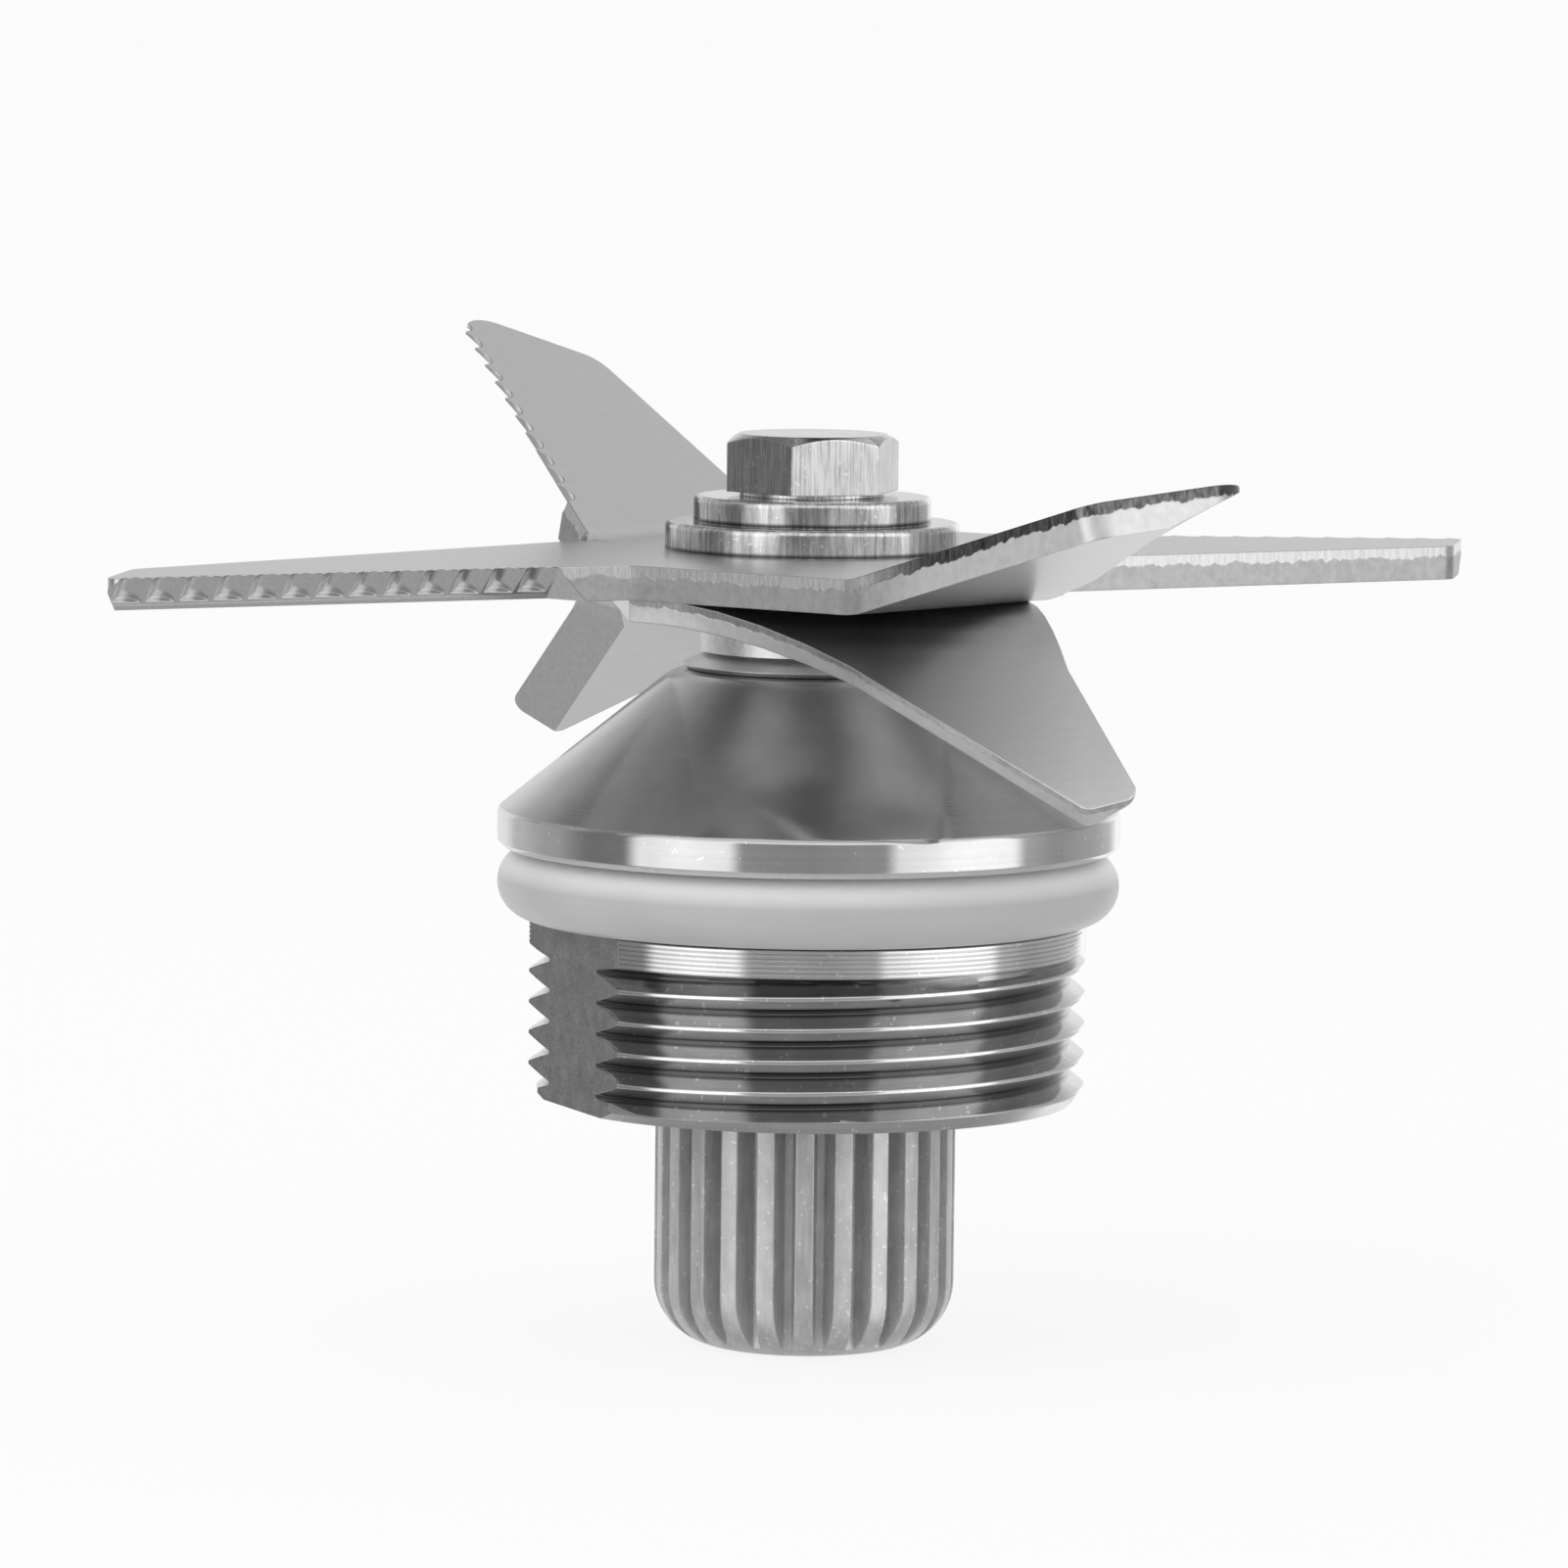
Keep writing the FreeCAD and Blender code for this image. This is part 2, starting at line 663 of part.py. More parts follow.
def inner_race(bottom):
    return ring(bearing_bore / 2, inner_race_diameter / 2, bottom, bearing_width).cut(raceway(bottom))


def outer_race(bottom):
    outer = bearing_outer / 2 - race_fit
    return ring(outer_race_diameter / 2, outer, bottom, bearing_width).cut(raceway(bottom))


def ball_places(bottom):
    middle = bottom + bearing_width / 2
    return [polar(ball_circle / 2, 360.0 / ball_count * k) + vector(0, 0, middle)
            for k in range(ball_count)]


def balls(bottom):
    return Part.makeCompound([Part.makeSphere(ball_diameter / 2, place) for place in ball_places(bottom)])


def ball_cage(bottom):
    middle = ball_circle / 2
    low = bottom + (bearing_width - cage_height) / 2
    cage = ring(middle - cage_width / 2, middle + cage_width / 2, low, cage_height)
    pockets = []
    for place in ball_places(bottom):
        outward = vector(place.x, place.y).normalize()
        start = place - outward * cage_width
        pockets.append(Part.makeCylinder(ball_diameter / 2 + ball_gap, 2 * cage_width, start, outward))
    return cage.cut(Part.makeCompound(pockets))


def seal_disc(bottom):
    inner = inner_race_diameter / 2 + running_gap
    outer = outer_race_diameter / 2 - race_fit
    return ring(inner, outer, bottom, seal_disc_thickness)


def seal_discs(bottom):
    low = seal_disc(bottom + seal_disc_recess)
    high = seal_disc(bottom + bearing_width - seal_disc_recess - seal_disc_thickness)
    return low, high


def inner_spacer():
    bore = bearing_bore / 2
    return ring(bore, bore + spacer_wall, lower_bearing_top, bearing_spacing)


def outer_spacer():
    outer = bearing_outer / 2 - race_fit
    return ring(outer - spacer_wall, outer, lower_bearing_top, bearing_spacing)


def seal_case():
    outer = seal_diameter / 2 - race_fit
    return revolve([(outer - seal_wall, seal_bottom), (outer, seal_bottom), (outer, seal_top),
                    (seal_web_inner / 2, seal_top), (seal_web_inner / 2, seal_web),
                    (outer - seal_wall, seal_web)])


def seal_lip():
    """Rubber moulded under the case's web, with its sealing edge close round the sleeve."""
    edge = sleeve_diameter / 2 + seal_lip_gap
    back = edge + seal_lip_reach
    outer = seal_diameter / 2 - seal_wall - 2 * race_fit
    edge_height = seal_web - seal_lip_drop
    tail = edge_height - seal_lip_tail
    skin = seal_web - seal_rubber_thickness
    return revolve([(outer, seal_web), (back, seal_web), (edge, edge_height),
                    (edge + seal_lip_reach / 2, tail), (back, tail), (back, skin), (outer, skin)])


def garter_spring():
    section = garter_section / 2
    centre = sleeve_diameter / 2 + seal_lip_gap + seal_lip_reach + section + race_fit
    return torus(centre, section, seal_web - seal_lip_drop)


def spline_groove():
    """One straight groove, wider at the outside than at its floor."""
    outer = spline_diameter / 2 * 1.06
    floor = spline_diameter / 2 - spline_groove_depth
    wide = spline_groove_top_angle / 2 * 1.02
    narrow = spline_groove_floor_angle / 2
    corners = [polar(floor, -narrow), polar(outer, -wide), polar(outer, wide), polar(floor, narrow)]
    return prism(corners, -1.0, body_bottom_height)


def drive_spline():
    """Toothed drum with a rounded lower end, and a neck that reaches up to the bearing."""
    radius = spline_diameter / 2
    teeth_top = body_bottom_height - spline_top_gap
    drum = Part.makeCylinder(radius, teeth_top)
    drum = fillet_ring(drum, radius, 0.0, spline_end_radius)
    step = 360.0 / spline_teeth
    # One tooth faces the front, so each groove is half a step to its side
    grooves = []
    for k in range(spline_teeth):
        groove = spline_groove()
        groove.rotate(ORIGIN, UP, -90 + step * (k + 0.5))
        grooves.append(groove)
    drum = drum.cut(Part.makeCompound(grooves))
    neck_height = lower_bearing_height - teeth_top
    neck = Part.makeCylinder(spline_neck_diameter / 2, neck_height, vector(0, 0, teeth_top))
    bore_low = shaft_end_height - bore_end_gap
    bore = Part.makeCylinder(shaft_diameter / 2, lower_bearing_height - bore_low, vector(0, 0, bore_low))
    return drum.fuse(neck).cut(bore).removeSplitter()


def save(name, shape):
    if not shape.isValid():
        print("not valid:", name)
    box = shape.BoundBox
    print("%-20s solids %d  volume %9.2f  z %.2f to %.2f" % (
        name, len(shape.Solids), shape.Volume, box.ZMin, box.ZMax))
    shape.exportStep("parts/" + name + ".step")


def main():
    os.makedirs("parts", exist_ok=True)
    hole = bolt_diameter / 2 + washer_hole_gap
    save("hex_bolt", hex_bolt())
    save("small_washer", washer(small_washer_diameter, hole, large_washer_top, small_washer_thickness))
    save("large_washer", washer(large_washer_diameter, hole, upper_blade_top, large_washer_thickness))
    save("upper_blade", upper_blade())
    save("lower_blade", lower_blade())
    save("blade_spacer", blade_spacer())
    save("slinger", slinger())
    save("drive_shaft", drive_shaft())
    save("drive_spline", drive_spline())
    save("housing", housing())
    save("o_ring", o_ring())
    save("retaining_ring", retaining_ring())
    save("inner_spacer", inner_spacer())
    save("outer_spacer", outer_spacer())
    save("seal_case", seal_case())
    save("seal_lip", seal_lip())
    save("garter_spring", garter_spring())
    for place, bottom in (("lower", lower_bearing_height), ("upper", upper_bearing_height)):
        save(place + "_inner_race", inner_race(bottom))
        save(place + "_outer_race", outer_race(bottom))
        save(place + "_balls", balls(bottom))
        save(place + "_ball_cage", ball_cage(bottom))
        below, above = seal_discs(bottom)
        save(place + "_bearing_low_disc", below)
        save(place + "_bearing_top_disc", above)


main()
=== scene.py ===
# %% [markdown]
# # The looks of a blender's blade assembly
# This lesson dresses a finished engineering model. The solids come from a frame that is loaded first, and
# nothing here moves them. Each step says what the piece is on the real object, and then makes it.

import math

import bpy
import bmesh
from mathutils import Matrix, Vector
from mathutils.bvhtree import BVHTree


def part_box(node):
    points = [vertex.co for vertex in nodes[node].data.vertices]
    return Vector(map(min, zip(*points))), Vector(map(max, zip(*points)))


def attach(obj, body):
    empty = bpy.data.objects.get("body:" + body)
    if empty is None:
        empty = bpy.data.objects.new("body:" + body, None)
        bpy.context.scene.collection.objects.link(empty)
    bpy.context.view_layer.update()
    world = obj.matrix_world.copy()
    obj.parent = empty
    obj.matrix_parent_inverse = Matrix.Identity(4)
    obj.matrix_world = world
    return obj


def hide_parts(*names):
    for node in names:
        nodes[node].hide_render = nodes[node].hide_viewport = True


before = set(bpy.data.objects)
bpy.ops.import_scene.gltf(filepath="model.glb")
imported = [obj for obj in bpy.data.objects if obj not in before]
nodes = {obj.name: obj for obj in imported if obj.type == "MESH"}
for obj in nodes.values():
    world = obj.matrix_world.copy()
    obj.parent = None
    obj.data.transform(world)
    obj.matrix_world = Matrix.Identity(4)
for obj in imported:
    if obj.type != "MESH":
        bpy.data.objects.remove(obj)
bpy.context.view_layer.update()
print("pieces in the frame:", len(nodes))

# %% [markdown]
# ## Units
# Blender works in metres here, and the drawings of such parts are in millimetres. One factor turns the one
# into the other, so that every size below can be read as it stands on a drawing. Heights that the solids
# already have are asked of them, so that they aren't written twice.

# %% Units and heights
MM = 0.001


def heights(node_name):
    """The lowest and the highest point of a solid."""
    low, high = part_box(node_name)
    return low.z / MM, high.z / MM


body_bottom, housing_top = heights("housing")
print("housing stands from z %.2f to %.2f mm" % (body_bottom, housing_top))

# %% [markdown]
# ## Helpers for shader graphs
# A finish is a small graph of nodes. It could be drawn by hand in the shader editor, but a list of steps is
# easier to read and to change. The first class adds nodes to any graph and knows some arithmetic. An input
# is a number or a colour, or else another node's output.


# %% A graph of nodes
class Graph:
    """A tree of nodes, built from empty."""

    def __init__(self, tree):
        self.tree = tree
        self.tree.nodes.clear()

    def join(self, value, socket):
        """Lead another node's output into a socket, or write a fixed value there."""
        if isinstance(value, bpy.types.NodeSocket):
            self.tree.links.new(value, socket)
        else:
            socket.default_value = value

    def add(self, kind, settings=None, **inputs):
        """A new node. An input is named with _ for each space, or by the letter i and its number."""
        node = self.tree.nodes.new(kind)
        for key, value in (settings or {}).items():
            setattr(node, key, value)
        for key, value in inputs.items():
            name = int(key[1:]) if key[1:].isdigit() else key.replace("_", " ")
            self.join(value, node.inputs[name])
        return node

    def math(self, operation, *values):
        inputs = {"i%d" % number: value for number, value in enumerate(values)}
        return self.add("ShaderNodeMath", {"operation": operation}, **inputs).outputs[0]

    def plus(self, first, *others):
        for other in others:
            first = self.math("ADD", first, other)
        return first

    def times(self, first, *others):
        for other in others:
            first = self.math("MULTIPLY", first, other)
        return first

    def span(self, value, low, high, to_low=0.0, to_high=1.0):
        """Map a value from one span to another, and hold it at the ends."""
        return self.add("ShaderNodeMapRange", Value=value, From_Min=low, From_Max=high,
                        To_Min=to_low, To_Max=to_high).outputs[0]

    def band(self, value, start, full, fading, end):
        """1 from full to fading, 0 before the start and after the end, and a slope between."""
        return self.times(self.span(value, start, full), self.span(value, end, fading))

    def blend(self, share, first, second):
        """Mix two greys or two numbers by a share from 0 to 1."""
        return self.add("ShaderNodeMix", {"data_type": "FLOAT"}, i0=share, i2=first, i3=second).outputs[0]

    def axes(self, vector):
        """The three parts of a vector."""
        return self.add("ShaderNodeSeparateXYZ", Vector=vector).outputs

    def grey(self, value):
        return self.add("ShaderNodeCombineColor", Red=value, Green=value, Blue=value).outputs[0]


print("a graph can", ", ".join(name for name in vars(Graph) if name[0] != "_"))

# %% [markdown]
# A material needs more: where a point lies on the piece, a noise that differs from place to place, edges that
# look rounded, and the shader at the end. Most of a noise lies between 0.3 and 0.7, so that span is mapped to
# the lowest and the highest value that is wanted.


# %% The graph of one finish
class Finish(Graph):
    """A new material and its graph."""

    def __init__(self, name):
        self.material = bpy.data.materials.new(name)
        self.material.use_nodes = True
        super().__init__(self.material.node_tree)

    def place(self, *scale):
        """Object coordinates in millimetres, stretched by one factor, or by one for each axis."""
        where = self.add("ShaderNodeTexCoord").outputs["Object"]
        factors = [s / MM for s in (scale if len(scale) == 3 else scale * 3)]
        return self.add("ShaderNodeMapping", Vector=where, Scale=factors).outputs[0]

    def radius(self, where):
        """How far a point lies from the shaft's axis."""
        squares = self.plus(self.times(where[0], where[0]), self.times(where[1], where[1]))
        return self.math("SQRT", squares)

    def around(self, scale_round, scale_up):
        """Coordinates that run round the shaft's axis, for marks left by turning."""
        where = self.axes(self.place(1.0))
        turned = self.times(self.math("ARCTAN2", where[1], where[0]), scale_round)
        height = self.times(where[2], scale_up)
        outward = self.times(self.radius(where), scale_up)
        return self.add("ShaderNodeCombineXYZ", X=turned, Y=height, Z=outward).outputs[0]

    def noise(self, where, detail=3.0, roughness=0.55):
        return self.add("ShaderNodeTexNoise", Vector=where, Scale=1.0, Detail=detail,
                        Roughness=roughness).outputs[0]

    def vary(self, noise, low, high):
        return self.span(noise, 0.3, 0.7, low, high)

    def stored(self, name):
        """A value that is stored on the mesh."""
        return self.add("ShaderNodeAttribute", {"attribute_name": name}).outputs["Fac"]

    def rounded(self, radius):
        """A normal that is rounded at edges, as a tumbled or brushed edge is."""
        return self.add("ShaderNodeBevel", {"samples": 6}, Radius=radius * MM).outputs[0]

    def bump(self, height, depth, normal=None):
        node = self.add("ShaderNodeBump", Height=height, Distance=depth * MM, Strength=1.0)
        if normal is not None:
            self.join(normal, node.inputs["Normal"])
        return node.outputs[0]

    def finish(self, colour, roughness, normal=None, metallic=1.0, **more):
        """Put the shader at the end of the graph."""
        shader = self.add("ShaderNodeBsdfPrincipled", Base_Color=colour, Roughness=roughness,
                          Metallic=metallic, **more)
        if normal is not None:
            self.join(normal, shader.inputs["Normal"])
        output = self.add("ShaderNodeOutputMaterial")
        self.join(shader.outputs[0], output.inputs[0])
        return self.material


print("a finish can also", ", ".join(name for name in vars(Finish) if name[0] != "_"))

# %% [markdown]
# ## Steel finishes
# All that shows but one ring is stainless steel, so what tells the pieces apart is how each surface was made.
# Polished steel is a clear mirror. Turned steel has fine rings round the axis. Drawn steel has marks along
# it. Each finish is plain metal with a pattern that changes its grey and its roughness a little.


# %% Polished and turned steel
def turned_steel(name, grey, roughness, rings, contrast, speck=0.0, edge=0.12, root=None, crest=None):
    """Steel from a lathe: fine rings round the axis, and a few specks. Painted shade darkens the root of a
    cut, and a painted highlight brightens a thread's crest."""
    f = Finish(name)
    ring = f.noise(f.around(0.8, rings), 2.0)
    cloud = f.noise(f.place(0.35))
    tone = f.plus(f.vary(ring, -contrast, contrast), f.vary(cloud, -0.03, 0.03), grey)
    if speck:
        dots = f.noise(f.place(2.2), 1.0)
        tone = f.plus(tone, f.span(dots, 0.70, 0.74, 0.0, speck))
    if root:
        # Painted shade: the grey darkens towards the root of a cut, where shade falls.
        radius = f.radius(f.axes(f.place(1.0)))
        tone = f.times(tone, f.span(radius, root, root + 0.25, 0.2, 1.0))
        # Painted highlight: a bright line along the thread's crest.
        if crest:
            tone = f.plus(tone, f.span(radius, crest - 0.10, crest, 0.0, 0.3))
    gloss = f.vary(ring, roughness * 0.8, roughness * 1.25)
    normal = f.bump(ring, contrast * 0.04, f.rounded(edge))
    return f.finish(f.grey(tone), gloss, normal)


barrel_radius = 18.0
thread_depth = 1.1
polished_cone = turned_steel("polished_cone", 0.45, 0.16, rings=9.0, contrast=0.015, edge=0.2)
bright_rim = turned_steel("bright_rim", 0.60, 0.07, rings=5.0, contrast=0.02, speck=0.15)
# The thread's root and the collar's fine grooves carry painted shade, and the thread's crest a painted
# highlight.
cut_thread = turned_steel("cut_thread", 0.46, 0.09, rings=6.0, contrast=0.03, speck=0.25, edge=0.05,
                          root=barrel_radius - thread_depth, crest=barrel_radius)
collar_steel = turned_steel("collar_steel", 0.72, 0.08, rings=6.0, contrast=0.03, speck=0.15, edge=0.04,
                            root=barrel_radius - 0.28)
turned_slinger = turned_steel("turned_slinger", 0.80, 0.40, rings=10.0, contrast=0.04, speck=0.05)
ground_shaft = turned_steel("ground_shaft", 0.50, 0.22, rings=12.0, contrast=0.04)
bearing_steel = turned_steel("bearing_steel", 0.55, 0.12, rings=14.0, contrast=0.02)
ball_polish = turned_steel("ball_polish", 0.60, 0.06, rings=3.0, contrast=0.01)
print("turned finishes made:", 8)


# %% [markdown]
# The two wrench flats are milled and the bottom face is faced, so they are dull, and so are the bush above
# the cone and the retaining ring. Fine grain in the grey and in the height gives a matt look that still is
# metal.

# %% Matt steel
def matt_steel(name, grey, roughness, grain, contrast):
    f = Finish(name)
    fine = f.noise(f.place(grain), 4.0, 0.7)
    wide = f.noise(f.place(0.8), 2.0)
    tone = f.plus(f.vary(fine, -contrast, contrast), f.vary(wide, -0.04, 0.04), grey)
    gloss = f.vary(fine, roughness - 0.06, roughness + 0.06)
    return f.finish(f.grey(tone), gloss, f.bump(fine, 0.02))


milled_flat = matt_steel("milled_flat", 0.28, 0.55, grain=5.0, contrast=0.10)
turned_bush = matt_steel("turned_bush", 0.74, 0.38, grain=2.2, contrast=0.10)
faced_end = matt_steel("faced_end", 0.45, 0.40, grain=4.0, contrast=0.04)
spring_steel = matt_steel("spring_steel", 0.10, 0.45, grain=4.0, contrast=0.04)
print("matt finishes made:", 4)


# %% [markdown]
# A washer is pressed from sheet and a bolt head is drawn bar, and the sides of both keep marks that stand
# upright, as the drive spline does more faintly. The pattern is a noise that changes fast round the piece and
# slowly along the shaft. In a stack, painted shade darkens the foot of a washer, and a painted highlight lies
# along its upper rim. Four heights say where such a band starts, is full, fades and ends. The sides of the
# head are painted lighter or darker, as light and shade would fall on them.

# %% Steel with upright marks
# Heights of the painted shade at a washer's foot and of the painted highlight at its upper rim
shade_above_foot = (0.02, 0.05, 0.16, 0.34)
highlight_from_top = (-0.45, -0.25, 0.0, 0.02)
sixth = math.pi / 3
left_front_corner = -0.23
top_face_radius = 4.8


def paint_light_on_sides(f, tone, where, sides):
    """Each side is a pair: how many sixths it lies past the left front corner, and the factor on its grey.
    The factors paint light and shade onto the sides, which lie outside the round top face."""
    beside = f.span(f.radius(where), top_face_radius, top_face_radius + 0.15)
    angle = f.math("ARCTAN2", where[0], f.times(where[1], -1.0))
    for number, factor in sides:
        start = left_front_corner + number * sixth
        inside = f.band(angle, start, start + 0.02, start + sixth - 0.02, start + sixth)
        tone = f.times(tone, f.blend(f.times(inside, beside), 1.0, factor))
    return tone


def pressed_steel(name, grey, roughness, contrast, marks, edge, depth, metallic=1.0, stacked=(), sides=()):
    f = Finish(name)
    where = f.axes(f.place(1.0))
    streak = f.noise(f.place(marks, marks, 0.25), 3.0, 0.7)
    cloud = f.noise(f.place(0.9, 0.9, 0.5), 2.0)
    dots = f.noise(f.place(3.0), 1.0)
    tone = f.plus(f.span(streak, 0.36, 0.64, -contrast, contrast), f.vary(cloud, -0.06, 0.06),
                  f.span(dots, 0.66, 0.72, grey, grey + 0.2))
    # Painted shade at the foot of each stacked washer, and a painted highlight along its upper rim
    for node_name in stacked:
        low, high = heights(node_name)
        foot_shade = f.band(where[2], *(low + step for step in shade_above_foot))
        rim_highlight = f.band(where[2], *(high + step for step in highlight_from_top))
        tone = f.plus(f.times(tone, f.blend(foot_shade, 1.0, 0.2)), f.times(rim_highlight, 0.16))
    # Painted light and shade, one factor for each side of the bolt head
    if sides:
        tone = paint_light_on_sides(f, tone, where, sides)
    gloss = f.vary(streak, roughness * 0.75, roughness * 1.3)
    return f.finish(f.grey(tone), gloss, f.bump(streak, depth, f.rounded(edge)), metallic)


# The head's sides are painted lighter or darker, as light and shade would fall on them.
bolt_finish = pressed_steel("bolt_finish", 0.58, 0.16, contrast=0.16, marks=7.0, edge=0.16, depth=0.0015,
                            sides=[(0, 1.5), (1, 0.8), (-1, 0.86)])
washer_finish = pressed_steel("washer_finish", 0.48, 0.17, contrast=0.15, marks=3.2, edge=0.22, depth=0.003,
                              stacked=["large_washer", "small_washer"])
spline_finish = pressed_steel("spline_finish", 0.60, 0.38, contrast=0.05, marks=2.5, edge=0.16, depth=0.004,
                              metallic=0.5)
print("pressed finishes made:", 3)


# %% [markdown]
# ## Blade steel
# A blade is stamped from sheet. Its broad faces are satin, its cut sides show a dark burnished band above a
# torn zone, and its ground bevels are bright. Two values stored on the mesh tell the finish where it is:
# the depth below the upper face, and how far a face leans from that face.

# %% The broad faces and the cut sides
def satin_face(f, grey, where, depth, hub_shade):
    """Fine grain along the blade. Painted shade can darken the upper face near the hub, under the other
    blade.
    """
    grain = f.noise(f.place(0.6, 2.4, 2.4), 3.0, 0.6)
    # Painted shade: the upper face grows darker towards the hub.
    painted_hub_shade = f.span(f.math("ABSOLUTE", where[0]), 4.0, 17.0, hub_shade, 1.0)
    below = f.span(depth, 0.1, 0.5)
    return f.times(f.vary(grain, grey - 0.02, grey + 0.02), f.blend(below, painted_hub_shade, 1.0))


def cut_side(f, thickness, depth, outward, upright, hub_side, arm_side):
    """Grey, roughness and relief of a side, where a wavy line parts the burnished band from the torn zone."""
    wave = f.noise(f.place(0.9, 0.9, 0.2), 2.0, 0.6)
    line = f.vary(wave, thickness * 0.20, thickness * 0.37)
    torn = f.span(f.math("SUBTRACT", depth, line), 0.0, 1 / 9)
    pitted = f.noise(f.place(1.6), 3.0, 0.6)
    burnished = f.plus(f.blend(outward, hub_side[0], arm_side[0]), f.vary(upright, -0.09, 0.09))
    ragged = f.plus(f.blend(outward, hub_side[1], arm_side[1]), f.vary(pitted, -0.05, 0.05))
    gloss = f.blend(torn, f.blend(outward, 0.26, 0.11), 0.38)
    relief = f.plus(f.times(upright, 0.25), f.times(torn, ragged))
    return f.blend(torn, burnished, ragged), gloss, relief


print("parts of the blade finish: satin face, cut side")


# %% [markdown]
# The lean tells the surfaces of a blade apart. It is 1 on the upper face and -1 on the lower one, near 0 on a
# cut side, and between 0 and -1 on a bevel, which is ground from below.

# %% Blade finish
def blade_steel(name, thickness, satin_grey, hub_side, arm_side, hub_shade=1.0):
    """A side is the greys of its burnished band and its torn zone, at the hub and out on the arm that points
    to the front right. The greys differ between the two places as painted reflection."""
    f = Finish(name)
    where = f.axes(f.place(1.0))
    depth = f.stored("depth")
    lean = f.stored("lean")
    # Painted reflection: the cut sides' greys change from the hub to the arm at the front right.
    outward = f.times(f.span(where[0], 3.0, 7.0), f.span(where[1], -7.0, -11.0))
    upright = f.noise(f.place(4.0, 4.0, 0.8), 3.0, 0.7)
    satin = satin_face(f, satin_grey, where, depth, hub_shade)
    side, side_gloss, relief = cut_side(f, thickness, depth, outward, upright, hub_side, arm_side)
    cut = f.times(f.span(f.math("ABSOLUTE", lean), 0.14, 0.08), f.span(depth, -0.02, 0.03))
    bevelled = f.band(lean, -0.99, -0.97, -0.16, -0.10)
    ground = f.vary(upright, 0.56, 0.66)
    tone = f.blend(cut, f.blend(bevelled, satin, ground), side)
    gloss = f.blend(cut, f.blend(bevelled, 0.33, 0.20), side_gloss)
    normal = f.bump(f.times(cut, relief), 0.02, f.rounded(0.13))
    return f.finish(f.grey(tone), gloss, normal)


star_finish = blade_steel("star_finish", 2.2, 0.72, hub_side=(0.64, 0.44), arm_side=(0.14, 0.68))
# The lower blade's upper face carries painted shade near the hub.
lower_finish = blade_steel("lower_finish", 1.6, 0.97, hub_side=(0.50, 0.74), arm_side=(0.60, 0.84),
                           hub_shade=0.30)
print("blade finishes made:", 2)


# %% [markdown]
# ## Rubber and plastic
# The sealing ring is milky silicone: light enters it and comes out again near by, which is called
# subsurface scattering. The small hidden seals are black rubber, and the ball cages are pale nylon.

# %% Silicone, rubber and plastic
def silicone(node_name):
    """The ring's top is painted paler, as painted light against the shade of the rim above it."""
    f = Finish("silicone_ring")
    low, high = heights(node_name)
    cloud = f.noise(f.place(0.12, 0.12, 0.2), 2.0)
    height = f.axes(f.place(1.0))[2]
    # Painted light: the grey rises towards the ring's top.
    tone = f.times(f.vary(cloud, 0.50, 0.54), f.span(height, low + 2.7, high - 0.7, 1.0, 1.8))
    return f.finish(f.grey(tone), f.vary(cloud, 0.32, 0.42), metallic=0.0,
                    Subsurface_Weight=0.6, Subsurface_Scale=0.003,
                    Subsurface_Radius=(1.0, 1.0, 1.0), Specular_IOR_Level=0.4)


def moulded(name, colour, roughness):
    f = Finish(name)
    grain = f.noise(f.place(6.0))
    tinted = f.add("ShaderNodeHueSaturation", Color=colour, Value=f.vary(grain, 0.85, 1.15)).outputs[0]
    gloss = f.vary(grain, roughness - 0.08, roughness + 0.08)
    return f.finish(tinted, gloss, f.bump(grain, 0.01), metallic=0.0)


ring_finish = silicone("o_ring")
black_rubber = moulded("black_rubber", (0.035, 0.035, 0.038, 1), 0.6)
cage_nylon = moulded("cage_nylon", (0.62, 0.56, 0.42, 1), 0.5)
print("soft finishes made:", 3)

# %% [markdown]
# ## Pieces that keep their solid
# Most pieces already have their true shape, and only need their finish. A table pairs each finish with the
# nodes that wear it.

# %% Give the kept solids their finish
kept = {
    bolt_finish: ["hex_bolt"],
    washer_finish: ["small_washer", "large_washer"],
    turned_bush: ["blade_spacer"],
    turned_slinger: ["slinger"],
    spline_finish: ["drive_spline"],
    ring_finish: ["o_ring"],
    ground_shaft: ["drive_shaft", "inner_spacer", "outer_spacer", "seal_case", "garter_spring"],
    bearing_steel: ["lower_inner_race", "lower_outer_race", "upper_inner_race", "upper_outer_race"],
    ball_polish: ["lower_balls", "upper_balls"],
    cage_nylon: ["lower_ball_cage", "upper_ball_cage"],
    black_rubber: ["seal_lip", "lower_bearing_low_disc", "lower_bearing_top_disc",
                   "upper_bearing_low_disc", "upper_bearing_top_disc"],
    spring_steel: ["retaining_ring"],
}
for finish, names in kept.items():
    for name in names:
        nodes[name].data.materials.clear()
        nodes[name].data.materials.append(finish)
    print(finish.name, "on", ", ".join(names))

# %% [markdown]
# ## The housing
# The housing is turned from one bar: a cone, a rim, a groove for the ring, a collar with fine grooves, and a
# threaded barrel with two flats for a wrench. Its section is a list of radius and height pairs, and it is
# spun round the axis as a grid of rows and columns. A grid makes the thread simple, because each point's
# place can depend on its angle.

# %% Sizes of the housing
rim_radius = 20.12
rim_bottom = 32.40
rim_top = 34.75
rim_bevel = 0.4
ring_groove_radius = 15.50
shoulder_radius = 8.82
mouth_radius = 7.90
mouth_bottom = 41.65
seal_seat_radius = 9.50
bearing_bore = 13.0
bearing_top = 37.97
clip_top = 18.0
clip_bottom = 16.7
clip_radius = 13.65
collar_bottom = 25.9
collar_top = 27.7
print("barrel radius", barrel_radius, "mm, rim radius", rim_radius, "mm")

# %% [markdown]
# A sharp turned corner is softened by a short arc. The arc touches both lines that meet at the corner, so
# its centre follows from the corner's angle.


